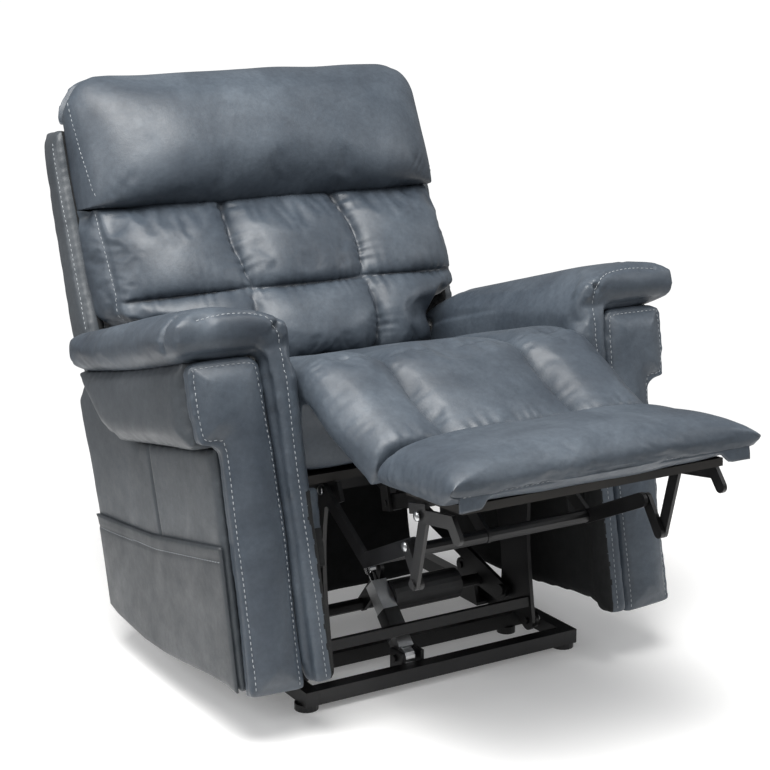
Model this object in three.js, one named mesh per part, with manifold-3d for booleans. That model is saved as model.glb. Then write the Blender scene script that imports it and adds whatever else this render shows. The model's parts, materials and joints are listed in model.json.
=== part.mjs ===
// Power lift recliner chair: a low steel lift base carries a tilting chair carriage with arms, seat,
// reclining back with tilting headrest, and a footrest on scissor links.
// Units are millimetres. +Z is up and the chair faces -Y. In the names, left and right are as someone
// facing the chair sees them, so left is at -X.
// The chair stands at rest leaned back on its lift base with the footrest part raised.
import * as THREE from 'three';
import { mergeVertices } from 'three/addons/utils/BufferGeometryUtils.js';
import Module from 'manifold-3d';

const wasm = await Module();
wasm.setup();

// ---------- driving dimensions ----------
const GAP = 0.3; // play between pieces that touch
const LEAN = THREE.MathUtils.degToRad(12); // how far the chair leans back on its base at rest

const BASE_HALF_WIDTH = 271;
const BASE_TUBE = 25; // square steel tube of the base
const BASE_TOP = 37; // top of the base tubes
const BASE_DEPTH = 585;
const FOOT_RADIUS = 20;
const MID_TUBE_Y = 133;
const MID_TUBE_HALF = 230;

const PLATE = 7; // thickness of links and mechanism plates
const LINK_WIDTH = 28;
const PIN_RADIUS = 6;
const PLANE_INNER = 189; // each plane is the inner face of a layer of links, counted from the middle
const PLANE_SIDE = 200;
const PLANE_ARM = 211;
const PLANE_OUTER = 222;
const PLANE_LAST = 236;

// pivots of the lift, in base coordinates (y, z)
const LIFT_A = [280, 82.8];
const LIFT_C = [52, 50];
const REAR_B = [474.1, 191.7];
const REAR_D = [115.4, 90];
const LIFT_ACT_FOOT = [46, 40];
const LIFT_ACT_TOP = [165, 160];

// pivots of the chair, in the chair's own upright coordinates (y, z)
const BACK_PIVOT = [385, 470];
const CALF_PIVOT = [-100, 528];
const OTTOMAN_PIVOT = [-300, 408];
const ARM_PIVOT = [-38.6, 360.5];
const LINK_G = [-299, 290.9];
const LINK_X = [-321.2, 238.1];
const LINK_F = [-371.3, 343.2];
const BACK_ACT_FOOT = [200, 310];
const BACK_ACT_TOP = [458.2, 447.1];
const FOOT_ACT_FOOT = [109.7, 299.8];
const FOOT_ACT_TOP = [-86.2, 325.5];
const ARM_ELBOW = [-150, 256]; // low corner of the bent footrest arm, where its cross tube is welded

const RAIL_BOTTOM = 330; // mechanism side rail
const RAIL_TOP = 374;
const SEAT_HALF = 262;
const SEAT_TOP = 548;
const ARM_INNER = 281;
const ARM_FRONT = -76;
const BACK_HALF = 388;
const CUSHION_HALF = 348;

// ---------- finishes ----------
const LEATHER = { color: 0x5b6772, roughness: 0.5, metalness: 0 };
const LEATHER_SIDE = { color: 0x59626b, roughness: 0.55, metalness: 0 };
const CLOTH = { color: 0x23262a, roughness: 0.95, metalness: 0 };
const STEEL = { color: 0x17181a, roughness: 0.45, metalness: 0.6 };
const ALUMINIUM = { color: 0xc9ccce, roughness: 0.3, metalness: 1 };
const CHROME = { color: 0xdcdfe2, roughness: 0.12, metalness: 1 };
const PLASTIC = { color: 0x2c2e31, roughness: 0.55, metalness: 0 };
const WOOD = { color: 0x241f1b, roughness: 0.7, metalness: 0 };

// ---------- scene graph ----------
const object = new THREE.Group();
const base = new THREE.Group();
const chair = new THREE.Group();
chair.rotation.x = -LEAN;
object.add(base, chair);

// ---------- helpers ----------
// closed geometry -> manifold solid
function toSolid(geometry) {
  const bare = geometry.index ? geometry.toNonIndexed() : geometry.clone();
  bare.deleteAttribute('normal');
  bare.deleteAttribute('uv');
  const merged = mergeVertices(bare, 1e-4);
  return new wasm.Manifold(new wasm.Mesh({
    numProp: 3,
    vertProperties: new Float32Array(merged.attributes.position.array),
    triVerts: new Uint32Array(merged.index.array),
  }));
}

function toGeometry(solid) {
  const mesh = solid.getMesh();
  const geometry = new THREE.BufferGeometry();
  geometry.setAttribute('position', new THREE.BufferAttribute(new Float32Array(mesh.vertProperties), 3));
  geometry.setIndex(new THREE.BufferAttribute(new Uint32Array(mesh.triVerts), 1));
  return geometry;
}

const join = (...parts) => toGeometry(parts.map(toSolid).reduce((sum, part) => sum.add(part)));
const cut = (body, ...tools) =>
  toGeometry(tools.map(toSolid).reduce((sum, tool) => sum.subtract(tool), toSolid(body)));
const common = (a, b) => toGeometry(toSolid(a).intersect(toSolid(b)));

function add(group, name, geometry, finish) {
  const shown = geometry.index ? geometry.toNonIndexed() : geometry;
  shown.computeVertexNormals();
  const mesh = new THREE.Mesh(shown, new THREE.MeshStandardMaterial(finish));
  mesh.name = name;
  group.add(mesh);
  return mesh;
}

const asShape = outline =>
  outline instanceof THREE.Shape ? outline : new THREE.Shape(outline.map(p => new THREE.Vector2(...p)));

// outline in (y, z), as points or a THREE.Shape, filled between x0 and x1
function acrossX(outline, x0, x1) {
  const shape = asShape(outline);
  const settings = { depth: x1 - x0, bevelEnabled: false, curveSegments: 6 };
  const geometry = new THREE.ExtrudeGeometry(shape, settings);
  const axes = new THREE.Matrix4().makeBasis(
    new THREE.Vector3(0, 1, 0), new THREE.Vector3(0, 0, 1), new THREE.Vector3(1, 0, 0));
  return geometry.applyMatrix4(axes).translate(x0, 0, 0);
}

// outline in (x, z) filled between y0 and y1
function acrossY(outline, y0, y1) {
  const shape = asShape(outline);
  const settings = { depth: y1 - y0, bevelEnabled: false, curveSegments: 6 };
  const geometry = new THREE.ExtrudeGeometry(shape, settings);
  const axes = new THREE.Matrix4().makeBasis(
    new THREE.Vector3(1, 0, 0), new THREE.Vector3(0, 0, 1), new THREE.Vector3(0, -1, 0));
  return geometry.applyMatrix4(axes).translate(0, y1, 0);
}

const box = (x0, x1, y0, y1, z0, z1) =>
  new THREE.BoxGeometry(x1 - x0, y1 - y0, z1 - z0).translate((x0 + x1) / 2, (y0 + y1) / 2, (z0 + z1) / 2);

// cylinder along X between x0 and x1 at (y, z)
const pin = ([y, z], x0, x1, radius, sides = 12) =>
  new THREE.CylinderGeometry(radius, radius, x1 - x0, sides)
    .rotateZ(Math.PI / 2).translate((x0 + x1) / 2, y, z);

const disc = ([x, y], z0, z1, radius, sides = 16) =>
  new THREE.CylinderGeometry(radius, radius, z1 - z0, sides)
    .rotateX(Math.PI / 2).translate(x, y, (z0 + z1) / 2);

// the same cylinder on either side of the chair; side is -1 or 1
const sidePin = (at, side, x0, x1, radius) =>
  side > 0 ? pin(at, x0, x1, radius) : pin(at, -x1, -x0, radius);
const sidePlate = (outline, side, x0, x1) =>
  side > 0 ? acrossX(outline, x0, x1) : acrossX(outline, -x1, -x0);
const sideBox = (side, x0, x1, y0, y1, z0, z1) =>
  side > 0 ? box(x0, x1, y0, y1, z0, z1) : box(-x1, -x0, y0, y1, z0, z1);
const mirrored = (outline, side) => (side > 0 ? outline : outline.map(([x, z]) => [-x, z]).reverse());

// bar with round ends through a chain of points in (y, z)
function linkOutline(points, width) {
  const radius = width / 2;
  const shape = new THREE.Shape();
  const ahead = i => Math.atan2(points[i + 1][1] - points[i][1], points[i + 1][0] - points[i][0]);
  const last = points.length - 1;
  shape.absarc(...points[0], radius, ahead(0) + Math.PI / 2, ahead(0) + 1.5 * Math.PI, false);
  for (let i = 1; i < last; i += 1) corner(shape, points[i], ahead(i - 1), ahead(i), radius, -1);
  shape.absarc(...points[last], radius, ahead(last - 1) - Math.PI / 2, ahead(last - 1) + Math.PI / 2, false);
  for (let i = last - 1; i > 0; i -= 1) corner(shape, points[i], ahead(i - 1), ahead(i), radius, 1);
  shape.closePath();
  return shape;
}

// mitred corner of a bent bar, on its right (-1) or left (1) edge
function corner(shape, [y, z], before, after, radius, edge) {
  const middle = (before + after) / 2;
  const reach = radius / Math.cos((after - before) / 2);
  shape.lineTo(y - edge * Math.sin(middle) * reach, z + edge * Math.cos(middle) * reach);
}

const bar = (points, side, plane, width = LINK_WIDTH) =>
  sidePlate(linkOutline(points, width), side, plane, plane + PLATE);

// base coordinates -> the chair's own upright coordinates
const toChair = ([y, z]) => [
  y * Math.cos(LEAN) - z * Math.sin(LEAN), y * Math.sin(LEAN) + z * Math.cos(LEAN)];

const sides = [['left', -1], ['right', 1]];

// ---------- base: floor frame with glides, lift brackets and the actuator's clevis ----------
function buildBase() {
  const tubeBottom = BASE_TOP - BASE_TUBE;
  const inner = BASE_HALF_WIDTH - BASE_TUBE;
  const feetY = [24, BASE_DEPTH - 24];
  for (const [name, side] of sides) {
    const tube = sideBox(side, inner, BASE_HALF_WIDTH, 0, BASE_DEPTH, tubeBottom, BASE_TOP);
    const glides = feetY.flatMap(y => [
      disc([side * (inner + 12), y], 0, tubeBottom - GAP, FOOT_RADIUS),
      disc([side * (inner + 13), y], tubeBottom - 1, tubeBottom + 1, 8)]);
    const upright = sidePlate(
      [[LIFT_A[0] - 40, tubeBottom], [LIFT_A[0] + 45, tubeBottom], [LIFT_A[0] + 16, LIFT_A[1] + 14],
        [LIFT_A[0] - 16, LIFT_A[1] + 14]], side, PLANE_OUTER, PLANE_OUTER + PLATE);
    const flange = sideBox(side, PLANE_OUTER, inner + 1, LIFT_A[0] - 40, LIFT_A[0] + 45,
      tubeBottom, tubeBottom + 6);
    const pivot = sidePin(LIFT_A, side, PLANE_SIDE + 8, PLANE_OUTER + 12, PIN_RADIUS);
    add(base, `base_side_tube_${name}`, join(tube, ...glides, upright, flange, pivot), STEEL);
  }
  const cross = inner - GAP;
  const clevis = [-76, -38].map(x =>
    box(x, x + 6, BASE_TUBE - 1, LIFT_ACT_FOOT[0] + 16, tubeBottom + 2, LIFT_ACT_FOOT[1] + 14));
  const clevisPin = pin(LIFT_ACT_FOOT, -80, -28, PIN_RADIUS);
  add(base, 'base_front_tube',
    join(box(-cross, cross, 0, BASE_TUBE, tubeBottom, BASE_TOP), ...clevis, clevisPin), STEEL);

  const midFeet = [-213, 213].map(x => disc([x, MID_TUBE_Y], 0, tubeBottom + 1, 17));
  add(base, 'base_mid_tube',
    join(box(-cross, cross, MID_TUBE_Y - 12, MID_TUBE_Y + 13, tubeBottom, BASE_TOP), ...midFeet), STEEL);

  const rear = box(-cross, cross, BASE_DEPTH - BASE_TUBE, BASE_DEPTH, tubeBottom, BASE_TOP);
  const upright = [[BASE_DEPTH - 60, tubeBottom], [BASE_DEPTH, tubeBottom], [BASE_DEPTH, BASE_TOP + 15],
    [REAR_B[0] + 18, REAR_B[1] + 14], [REAR_B[0] - 17, REAR_B[1] + 8]];
  const uprights = sides.flatMap(([, side]) => [
    sidePlate(upright, side, PLANE_SIDE, PLANE_SIDE + PLATE),
    sidePin(REAR_B, side, PLANE_INNER - 4, PLANE_SIDE + 12, PIN_RADIUS)]);
  add(base, 'base_rear_tube', join(rear, ...uprights), STEEL);
}

// ---------- lift links ----------
function buildLiftLinks() {
  for (const [name, side] of sides) {
    const hole = sidePin(LIFT_A, side, PLANE_ARM - 1, PLANE_ARM + PLATE + 1, PIN_RADIUS + 0.4);
    const body = bar([LIFT_A, LIFT_C], side, PLANE_ARM);
    const rivet = sidePin(LIFT_C, side, PLANE_SIDE - 4, PLANE_ARM + PLATE + 3, PIN_RADIUS);
    add(base, `lift_link_${name}`, cut(join(body, rivet), hole), STEEL);

    const rearHole = sidePin(REAR_B, side, PLANE_INNER - 1, PLANE_INNER + PLATE + 1, PIN_RADIUS + 0.4);
    const rearBody = bar([REAR_B, REAR_D], side, PLANE_INNER);
    const boss = sidePin(REAR_D, side, PLANE_INNER - 5, PLANE_INNER + PLATE, 10);
    add(base, `rear_link_${name}`, cut(join(rearBody, boss), rearHole), STEEL);
  }
  const tubeAt = [LIFT_A[0] - 60, LIFT_A[1] - 9];
  const reach = PLANE_ARM - GAP;
  const tube = pin(tubeAt, -reach, reach, 11);
  const lugBend = [LIFT_ACT_TOP[0] + 6, LIFT_ACT_TOP[1] - 30];
  const lug = acrossX(linkOutline([tubeAt, lugBend, LIFT_ACT_TOP], 26), -40, -33);
  add(base, 'lift_torque_tube', join(tube, lug), STEEL);
}

// ---------- linear actuators ----------
// The actuator lies along +Y in its own group, which is turned to point from its foot to its top pin.
function actuatorGroup(parent, x, foot, top) {
  const group = new THREE.Group();
  group.position.set(x, foot[0], foot[1]);
  group.rotation.x = Math.atan2(top[1] - foot[1], top[0] - foot[0]);
  parent.add(group);
  return group;
}

const alongY = (y0, y1, radius, faces = 12) =>
  new THREE.CylinderGeometry(radius, radius, y1 - y0, faces).translate(0, (y0 + y1) / 2, 0);
const distance = (a, b) => Math.hypot(b[0] - a[0], b[1] - a[1]);

function buildActuator(parent, name, x, foot, top, spec) {
  const group = actuatorGroup(parent, x, foot, top);
  const length = distance(foot, top);
  const { half, tubeEnd, rodStart, motor } = spec;
  const bore = alongY(rodStart - spec.retract - 4, tubeEnd + 5, 8.5);
  const eye = pin([0, 0], -9, 9, 15, 16);
  const eyeHole = pin([0, 0], -10, 10, PIN_RADIUS + 0.4);
  const shell = cut(join(box(-half, half, 12, tubeEnd, -half, half), eye), eyeHole, bore);
  const motorGeometry = motor.alongX
    ? pin([motor.y, motor.z], motor.from, motor.to, motor.radius, 20)
    : alongY(motor.from, motor.to, motor.radius, 20).translate(0, 0, motor.z);
  if (spec.splitMotor) {
    add(group, `${name}_rail`, shell, ALUMINIUM);
    add(group, `${name}_motor`, motorGeometry, PLASTIC);
  } else {
    add(group, `${name}_body`, join(shell, motorGeometry), PLASTIC);
  }
  const rodEye = pin([length, 0], -6, 6, 11, 16);
  add(group, `${name}_rod`, join(alongY(rodStart, length, 7), rodEye), CHROME);
}

// ---------- chair carriage: side plates, cross tubes, seat ----------
function buildCarriage() {
  const c = toChair(LIFT_C);
  const d = toChair(REAR_D);
  const outline = new THREE.Shape();
  outline.moveTo(-70, RAIL_TOP);
  outline.lineTo(-78, RAIL_BOTTOM + 12);
  outline.lineTo(-20, RAIL_BOTTOM);
  outline.quadraticCurveTo(16, 250, c[0] - 20, c[1] + 60);
  outline.lineTo(c[0] - 17, c[1]);
  outline.absarc(...c, 17, Math.PI, 1.75 * Math.PI, false);
  outline.lineTo(d[0] + 14, d[1] - 8);
  outline.lineTo(d[0] + 14, d[1] + 14);
  outline.quadraticCurveTo(86, 200, 110, RAIL_BOTTOM);
  outline.lineTo(405, RAIL_BOTTOM);
  outline.lineTo(BACK_PIVOT[0] + 17, BACK_PIVOT[1]);
  outline.absarc(...BACK_PIVOT, 17, 0, Math.PI, false);
  outline.lineTo(350, RAIL_TOP);
  outline.closePath();
  for (const [name, side] of sides) {
    const plate = sidePlate(outline, side, PLANE_SIDE, PLANE_SIDE + PLATE);
    const frontHole = sidePin(c, side, PLANE_SIDE - 1, PLANE_SIDE + PLATE + 1, PIN_RADIUS + 0.4);
    const backHole = sidePin(BACK_PIVOT, side, PLANE_SIDE - 1, PLANE_SIDE + PLATE + 1, PIN_RADIUS + 0.4);
    const armPin = sidePin(ARM_PIVOT, side, PLANE_SIDE - 3, PLANE_ARM + PLATE + 2.5, PIN_RADIUS);
    add(chair, `mechanism_side_plate_${name}`, join(cut(plate, frontHole, backHole), armPin), STEEL);
  }
  const reach = PLANE_SIDE - GAP;
  const tube = (at, half = 10) => box(-reach, reach, at[0] - half, at[0] + half, at[1] - half, at[1] + half);
  add(chair, 'carriage_front_tube', tube(toChair([53, 86]), 8.5), STEEL);
  const footClevis = [-20, 14].map(x => acrossX(
    [[FOOT_ACT_FOOT[0] - 13, FOOT_ACT_FOOT[1] - 14], [FOOT_ACT_FOOT[0] + 13, FOOT_ACT_FOOT[1] - 14],
      [FOOT_ACT_FOOT[0] + 13, 345], [FOOT_ACT_FOOT[0] - 10, 345]], x, x + 6));
  const footPin = pin(FOOT_ACT_FOOT, -22, 22, PIN_RADIUS);
  add(chair, 'seat_mid_tube', join(tube([112, 350], 12), ...footClevis, footPin), STEEL);
  const backClevis = [64, 98].map(x => acrossX(
    [[BACK_ACT_FOOT[0] - 14, BACK_ACT_FOOT[1] - 14], [BACK_ACT_FOOT[0] + 14, BACK_ACT_FOOT[1] - 14],
      [BACK_ACT_FOOT[0] + 14, 350], [BACK_ACT_FOOT[0] - 30, 350]], x, x + 6));
  const backPin = pin(BACK_ACT_FOOT, 62, 106, PIN_RADIUS);
  add(chair, 'seat_rear_tube', join(tube([180, 350], 12), ...backClevis, backPin), STEEL);
  add(chair, 'seat_deck', box(-SEAT_HALF, SEAT_HALF, -56, 275, RAIL_TOP + GAP, RAIL_TOP + 14), WOOD);
  const supplyCase = box(-150, -60, 230, 320, 318, RAIL_TOP - 1);
  const supplyInlet = box(-120, -95, 318, 328, 330, 352);
  add(chair, 'power_supply_box', join(supplyCase, supplyInlet), PLASTIC);

  const seatBottom = RAIL_TOP + 14 + GAP;
  const seat = [[-62, seatBottom], [275, seatBottom], [335, seatBottom + 40],
    [335, SEAT_TOP - 14], [300, SEAT_TOP], [-40, SEAT_TOP + 2],
    [-58, SEAT_TOP - 10], [-64, SEAT_TOP - 40]];
  add(chair, 'seat_cushion', acrossX(seat, -SEAT_HALF, SEAT_HALF), LEATHER);
  for (const [name, side] of sides) {
    const valance = sideBox(side, PLANE_LAST, ARM_INNER - GAP, -66, -54, 240, RAIL_TOP - 1);
    const gusset = sidePlate([[-66, 300], [300, 320], [300, RAIL_TOP - 1], [-66, RAIL_TOP - 1]],
      side, ARM_INNER - 12, ARM_INNER - GAP);
    add(chair, `seat_side_valance_${name}`, join(valance, gusset), CLOTH);
  }
}

// ---------- arms ----------
function buildArms() {
  const bottom = [[-74, 74], [-39, 84], [21, 91], [117, 98], [196, 105], [278, 118], [391, 151], [424, 165]];
  const rear = [[440, 328], [474, 500], [478, 531], [430, 571]];
  const wingSeam = [[-74, 458], [-34, 457], [217, 462], [280, 484], [352, 556]];
  const outerTop = wingSeam.map(([y, z]) => [y, z - GAP]).reverse();
  const panel = [...bottom, ...rear, ...outerTop];
  const wing = [...wingSeam, [372, 577], [366, 582.5], [-74, 594.5]];
  const innerPanel = [...bottom, ...rear, [398, 582], [-74, 594.5]];
  const capSide = new THREE.Shape();
  capSide.moveTo(-74, 595);
  capSide.lineTo(416, 582);
  capSide.quadraticCurveTo(436, 604, 408, 622);
  capSide.lineTo(331, 640);
  capSide.lineTo(-6, 661);
  capSide.lineTo(-90, 664);
  capSide.quadraticCurveTo(-124, 660, -121, 632);
  capSide.quadraticCurveTo(-120, 600, -102, 597);
  capSide.closePath();
  const capFront = [[286, 590], [470, 590], [479, 620], [474, 645], [452, 658],
    [400, 665], [340, 660], [300, 646], [284, 622]];
  // seen from above, as (x, -y): the outer rear corner is rounded off
  const capPlan = [[280, -438], [345, -434], [400, -412], [446, -374], [474, -340], [484, -300],
    [484, 130], [280, 130]];
  const face = [[313, 66], [413, 70], [417, 447], [424, 458], [451, 466], [456, 520], [455, 578], [448, 592],
    [344, 592], [327, 576], [322, 500], [312, 300]];
  const rail = [[ARM_INNER - 6, 72], [309, 72], [309, 300], [318, 500], [324, 578], [330, 592], [290, 592],
    [ARM_INNER - 4, 560]];
  for (const [name, side] of sides) {
    add(chair, `arm_inner_panel_${name}`, sidePlate(innerPanel, side, ARM_INNER, ARM_INNER + 16), LEATHER);
    add(chair, `arm_outer_panel_${name}`, sidePlate(panel, side, 398, 416), LEATHER_SIDE);
    add(chair, `arm_wing_${name}`, sidePlate(wing, side, 398, 450), LEATHER_SIDE);
    add(chair, `arm_front_panel_${name}`, acrossY(mirrored(face, side), -100, ARM_FRONT), LEATHER_SIDE);
    add(chair, `arm_front_rail_${name}`, acrossY(mirrored(rail, side), -118, ARM_FRONT), LEATHER);
    const capBlock = common(
      sidePlate(capSide, side, ARM_INNER, 482), acrossY(mirrored(capFront, side), -130, 440));
    const rounding = planPrism(mirrored(capPlan, side), 570, 680);
    add(chair, `arm_top_pad_${name}`, common(capBlock, rounding), LEATHER);
  }
}

// ---------- footrest ----------
// direction from a to b, and a point beside the line between them
function beside(a, b, along, off) {
  const length = distance(a, b);
  const u = [(b[0] - a[0]) / length, (b[1] - a[1]) / length];
  return [a[0] + u[0] * along + u[1] * off, a[1] + u[1] * along - u[0] * off];
}

function buildFootrest() {
  const length = distance(CALF_PIVOT, OTTOMAN_PIVOT);
  const calfEdge = (along, off) => beside(CALF_PIVOT, OTTOMAN_PIVOT, along, off);
  const calfBody = acrossX([
    calfEdge(-20, 20), calfEdge(0, 31), calfEdge(60, 35), calfEdge(150, 30), calfEdge(length - 10, 20),
    calfEdge(length + 16, 8), calfEdge(length + 18, -10), calfEdge(length - 6, -26), calfEdge(30, -32),
    calfEdge(0, -30), calfEdge(-20, -18), calfEdge(-29, 0)].reverse(), -SEAT_HALF, SEAT_HALF);
  add(chair, 'calf_pad', calfBody, LEATHER);

  const widthFront = 266;
  const cushion = [[-328, 384], [-328, 440], [-345, 444], [-400, 434], [-470, 414],
    [-512, 400], [-520, 388], [-514, 366], [-480, 362]];
  const plan = [[-250, 300], [250, 300], [widthFront, 520], [-widthFront, 520]];
  const cushionSolid = common(acrossX(cushion, -widthFront, widthFront),
    planPrism(plan, 340, 460));
  add(chair, 'ottoman_cushion', cushionSolid, LEATHER);
  const board = [[-330, 383.4], [-330, 371], [-476, 349], [-478, 361.4]];
  add(chair, 'ottoman_board', acrossX(board, -PLANE_LAST, PLANE_LAST), WOOD);
  for (const [name, side] of sides) {
    const hook = [LINK_F, [-452, 338], [-463, 316]];
    const bracket = join(bar(hook, side, PLANE_LAST, 20),
      sideBox(side, PLANE_LAST, PLANE_LAST + PLATE, -390, -345, 345, 361));
    const rivet = sidePin(LINK_F, side, PLANE_LAST - 4, PLANE_LAST + PLATE + 3, PIN_RADIUS);
    add(chair, `ottoman_bracket_${name}`, join(bracket, rivet), STEEL);

    const armHole = sidePin(ARM_PIVOT, side, PLANE_ARM - 1, PLANE_ARM + PLATE + 1, PIN_RADIUS + 0.4);
    const armBody = bar([ARM_PIVOT, ARM_ELBOW, LINK_G], side, PLANE_ARM, 24);
    const armRivet = sidePin(LINK_G, side, PLANE_ARM, PLANE_OUTER + PLATE, PIN_RADIUS);
    add(chair, `footrest_arm_${name}`, join(cut(armBody, armHole), armRivet), STEEL);

    const rearHole = sidePin(LINK_G, side, PLANE_OUTER - 1, PLANE_OUTER + PLATE + 1, PIN_RADIUS + 0.4);
    const rearBar = bar([LINK_G, LINK_X], side, PLANE_OUTER, 20);
    add(chair, `scissor_link_rear_${name}`, cut(rearBar, rearHole), STEEL);

    const frontHole = sidePin(LINK_F, side, PLANE_OUTER - 12, PLANE_LAST + 1, PIN_RADIUS + 0.4);
    const frontBar = sidePlate(linkOutline([LINK_F, LINK_X], 20), side,
      PLANE_OUTER + PLATE + 2 * GAP, PLANE_LAST - GAP);
    const bolt = sidePin(LINK_X, side, PLANE_OUTER + PLATE + 1, PLANE_LAST + 3, PIN_RADIUS + 1);
    add(chair, `scissor_link_front_${name}`, join(cut(frontBar, frontHole), bolt), STEEL);
  }
  const reach = PLANE_ARM - GAP;
  const lug = acrossX(linkOutline([ARM_ELBOW, FOOT_ACT_TOP], 24), 8, 15);
  add(chair, 'footrest_cross_tube', join(pin(ARM_ELBOW, -reach, reach, 11), lug), STEEL);
}

// outline in (x, -y) filled between z0 and z1
function planPrism(outline, z0, z1) {
  const shape = new THREE.Shape(outline.map(([x, depth]) => new THREE.Vector2(x, -depth)).reverse());
  return new THREE.ExtrudeGeometry(shape, { depth: z1 - z0, bevelEnabled: false }).translate(0, 0, z0);
}

// ---------- backrest and headrest ----------
function buildBack() {
  const backLean = Math.atan2(590 - 517, 1024 - 563); // the back's own slope in the upright chair
  for (const [name, side] of sides) {
    const railPath = [BACK_PIVOT, [BACK_PIVOT[0] + 75, 600], [BACK_PIVOT[0] + 152, 1000]];
    const rail = bar(railPath, side, PLANE_ARM, 26);
    const rivet = sidePin(BACK_PIVOT, side, PLANE_SIDE - 4, PLANE_ARM + PLATE + 3, PIN_RADIUS);
    add(chair, `back_rail_${name}`, join(rail, rivet), STEEL);
    const wing = [[452, 634], [516, 563], [588, 1022], [526, 1016]];
    const front = [[354, 560], [380, 560], [BACK_HALF, 640], [BACK_HALF - 4, 990],
      [BACK_HALF - 16, 1024], [354, 1024]];
    add(chair, `back_wing_${name}`, common(sidePlate(wing, side, 354, BACK_HALF),
      acrossY(mirrored(front, side), 400, 600)), LEATHER_SIDE);
  }
  const reach = PLANE_ARM - GAP;
  const lug = acrossX(linkOutline([[451, 560], BACK_ACT_TOP], 26), 92, 99);
  add(chair, 'back_lower_tube', join(box(-reach, reach, 441, 465, 548, 572), lug), STEEL);
  add(chair, 'back_upper_tube', box(-reach, reach, 518, 540, 960, 982), STEEL);
  const slopeY = z => 517 + (z - 563) * Math.tan(backLean);
  const rearPanel = [[slopeY(575) - 14, 575], [slopeY(575) - 1, 575],
    [slopeY(1020) - 1, 1020], [slopeY(1020) - 14, 1020]];
  add(chair, 'back_rear_panel', acrossX(rearPanel, -353, 353), LEATHER_SIDE);

  const lumbar = [[322, 556], [408, 556], [430, 600], [482, 858], [402, 858],
    [372, 780], [344, 700], [328, 620]];
  const lumbarFront = [[-264, 550], [264, 550], [266, 640], [CUSHION_HALF - 8, 668], [CUSHION_HALF, 700],
    [CUSHION_HALF, 860], [-CUSHION_HALF, 860], [-CUSHION_HALF, 700], [-CUSHION_HALF + 8, 668], [-266, 640]];
  const lumbarSide = acrossX(lumbar, -CUSHION_HALF, CUSHION_HALF);
  add(chair, 'back_cushion', common(lumbarSide, acrossY(lumbarFront, 300, 500)), LEATHER);

  const head = [[408, 873], [486, 873], [500, 950], [506, 1028], [572, 1032], [576, 1070],
    [556, 1090], [510, 1098], [468, 1080], [440, 1010], [418, 930]];
  const headFront = [[-CUSHION_HALF, 870], [CUSHION_HALF, 870], [CUSHION_HALF + 4, 960], [CUSHION_HALF, 1060],
    [CUSHION_HALF - 24, 1099], [-CUSHION_HALF + 24, 1099], [-CUSHION_HALF, 1060], [-CUSHION_HALF - 4, 960]];
  add(chair, 'headrest_cushion', common(acrossX(head, -355, 355), acrossY(headFront, 380, 600)), LEATHER);
}

buildBase();
buildLiftLinks();
buildCarriage();
buildArms();
buildFootrest();
buildBack();
buildActuator(base, 'lift_actuator', -54, LIFT_ACT_FOOT, LIFT_ACT_TOP, {
  half: 14, tubeEnd: 140, rodStart: 30, retract: 0, splitMotor: true,
  motor: { alongX: true, y: 112, z: -2, from: 15, to: 150, radius: 27 } });
buildActuator(chair, 'back_actuator', 84, BACK_ACT_FOOT, BACK_ACT_TOP, {
  half: 13, tubeEnd: 200, rodStart: 90, retract: 59,
  motor: { alongX: false, from: 30, to: 140, z: -30, radius: 20 } });
buildActuator(chair, 'footrest_actuator', 0, FOOT_ACT_FOOT, FOOT_ACT_TOP, {
  half: 13, tubeEnd: 128, rodStart: 70, retract: 45,
  motor: { alongX: true, y: 46, z: 0, from: 10, to: 110, radius: 19 } });

// the row's origin is on the floor under the middle of the whole chair
object.updateMatrixWorld(true);
const extent = new THREE.Box3().setFromObject(object, true);
object.position.y = -(extent.min.y + extent.max.y) / 2;
object.updateMatrixWorld(true);

export default object;
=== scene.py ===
"""Power lift recliner: upholstery, seams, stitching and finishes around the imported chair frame."""
import json
import math

import bmesh
import bpy
import numpy as np
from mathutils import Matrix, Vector, noise
from mathutils.bvhtree import BVHTree


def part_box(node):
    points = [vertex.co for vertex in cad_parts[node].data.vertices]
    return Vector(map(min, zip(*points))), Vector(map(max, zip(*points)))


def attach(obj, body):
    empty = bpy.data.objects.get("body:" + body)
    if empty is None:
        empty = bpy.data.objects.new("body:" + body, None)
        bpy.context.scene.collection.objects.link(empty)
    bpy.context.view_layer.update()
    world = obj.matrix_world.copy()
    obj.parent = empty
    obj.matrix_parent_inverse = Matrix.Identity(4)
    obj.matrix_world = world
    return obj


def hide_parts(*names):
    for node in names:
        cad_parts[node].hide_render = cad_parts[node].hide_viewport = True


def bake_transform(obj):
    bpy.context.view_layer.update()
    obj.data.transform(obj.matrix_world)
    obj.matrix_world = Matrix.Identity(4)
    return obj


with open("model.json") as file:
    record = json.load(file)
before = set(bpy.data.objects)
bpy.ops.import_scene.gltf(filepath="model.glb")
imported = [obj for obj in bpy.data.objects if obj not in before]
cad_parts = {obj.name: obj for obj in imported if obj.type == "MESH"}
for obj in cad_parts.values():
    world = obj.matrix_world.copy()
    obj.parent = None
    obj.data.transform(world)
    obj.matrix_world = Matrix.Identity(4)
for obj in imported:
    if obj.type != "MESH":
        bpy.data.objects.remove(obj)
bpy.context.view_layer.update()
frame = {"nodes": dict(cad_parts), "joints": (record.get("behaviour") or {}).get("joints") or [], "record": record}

MM = 0.001
LEAN = math.radians(12)  # the chair leans back on its lift base at rest
FRONT_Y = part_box("base_front_tube")[0][1]  # front face of the lift base
SIDES = (("left", -1), ("right", 1))


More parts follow.
